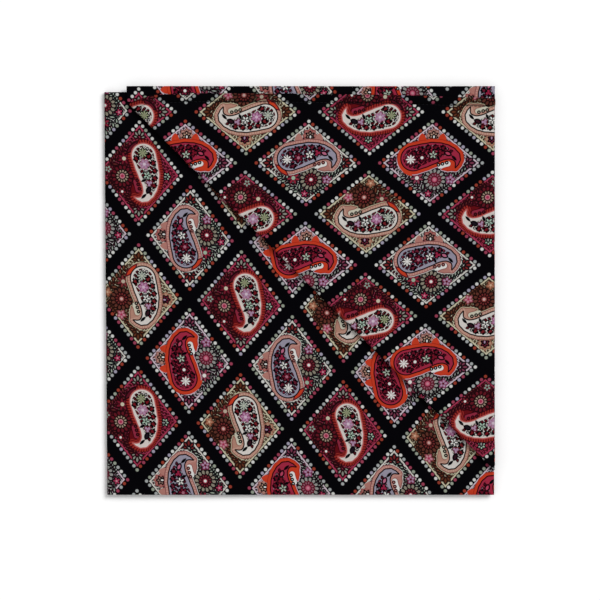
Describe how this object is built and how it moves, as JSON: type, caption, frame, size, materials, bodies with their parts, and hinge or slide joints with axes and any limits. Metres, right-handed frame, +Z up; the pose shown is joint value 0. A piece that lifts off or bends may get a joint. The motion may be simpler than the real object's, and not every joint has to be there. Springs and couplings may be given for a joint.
{
  "type": "folded bandana",
  "caption": "Square cotton bandana folded in four and laid flat, with a corner of its upper plies turned over along a diagonal fold.",
  "frame": {"origin": "on the surface it lies on, under the middle of the folded square's box", "axes": "+Z up, out of the cloth; +Y towards the edge with the turned-over hem; +X to the right seen from above"},
  "size_m": [0.2697, 0.2822, 0.0072],
  "materials": {
    "printed_cotton": "plain-weave cotton, black ground with a dense paisley print",
    "hem_cotton": "the same cotton turned in and sewn down as a narrow hem",
    "sewing_thread": "black sewing thread, slightly shiny"
  },
  "bodies": {
    "root": {"hidden_plies": "printed_cotton", "lower_ply": "printed_cotton", "upper_ply": "printed_cotton", "turned_flap": "printed_cotton", "flap_hem": "hem_cotton"}
  },
  "joints": []
}
